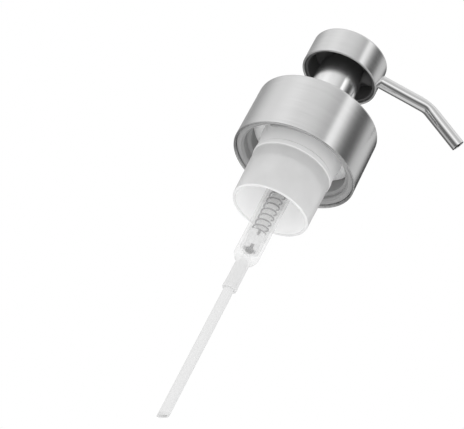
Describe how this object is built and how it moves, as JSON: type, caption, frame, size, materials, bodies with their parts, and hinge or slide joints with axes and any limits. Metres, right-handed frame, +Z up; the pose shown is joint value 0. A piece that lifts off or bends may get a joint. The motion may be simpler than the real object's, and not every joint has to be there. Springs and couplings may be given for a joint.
{
  "type": "foaming pump dispenser head",
  "caption": "Press-down foaming pump head with a brushed steel collar and cap, a bent steel spout, a translucent pump body and a thin dip tube.",
  "frame": {"origin": "centre of the sealing plane, where the neck gasket meets the lip of the jar", "axes": "+Z up along the pump axis, towards the head; +X along the spout"},
  "size_m": [0.0776, 0.048, 0.1672],
  "materials": {
    "brushed_steel": "brushed stainless steel, fine lines round the axis",
    "satin_steel": "satin stainless tube",
    "polished_steel": "polished stainless tube",
    "spring_steel": "bright stainless wire and balls",
    "grey_plastic": "grey polypropylene",
    "white_plastic": "white polypropylene",
    "frosted_plastic": "frosted, uncoloured polypropylene",
    "natural_plastic": "uncoloured polypropylene",
    "soft_plastic": "soft low-density polyethylene",
    "tube_plastic": "thin translucent polyethylene",
    "gasket_foam": "white closed-cell foam",
    "screen_plastic": "white nylon screen",
    "seal_rubber": "soft rubber",
    "black_plastic": "black moulded plastic"
  },
  "bodies": {
    "collar": {"collar_shell": "brushed_steel", "thread_insert": "grey_plastic", "collar_bush": "white_plastic"},
    "engine": {"pump_body": "frosted_plastic", "neck_gasket": "gasket_foam", "guide_ring": "white_plastic", "ball_cage": "natural_plastic", "return_spring": "spring_steel", "dip_tube": "tube_plastic"},
    "plunger": {"piston_rod": "natural_plastic", "liquid_piston": "soft_plastic", "piston_stem": "white_plastic", "mesh_holder": "white_plastic", "coarse_mesh": "screen_plastic", "fine_mesh": "screen_plastic"},
    "head": {"head_cap": "brushed_steel", "head_core": "black_plastic", "spout_tube": "polished_steel", "spout_seal": "seal_rubber", "stem_sleeve": "satin_steel"},
    "air_piston": {"air_piston": "soft_plastic", "air_valve": "seal_rubber"},
    "inlet_ball": {"inlet_ball": "spring_steel"},
    "outlet_ball": {"outlet_ball": "spring_steel"}
  },
  "joints": [
    {"name": "collar_turn", "type": "hinge", "parent": "collar", "child": "engine", "pos_m": [0, 0, 0], "axis": [0, 0, 1], "continuous": true},
    {"name": "press", "type": "slide", "parent": "engine", "child": "plunger", "axis": [0, 0, -1], "range_m": [0, 0.016], "stiffness_N_per_m": 600, "springref_m": -0.015, "deforming": ["return_spring"]},
    {"name": "head_turn", "type": "hinge", "parent": "plunger", "child": "head", "pos_m": [0, 0, 0.034], "axis": [0, 0, 1], "continuous": true},
    {"name": "air_piston_float", "type": "slide", "parent": "plunger", "child": "air_piston", "axis": [0, 0, 1], "range_m": [0, 0.0012]},
    {"name": "outlet_ball_lift", "type": "slide", "parent": "plunger", "child": "outlet_ball", "axis": [0, 0, 1], "range_m": [0, 0.0012]},
    {"name": "inlet_ball_lift", "type": "slide", "parent": "engine", "child": "inlet_ball", "axis": [0, 0, 1], "range_m": [0, 0.0012]}
  ]
}
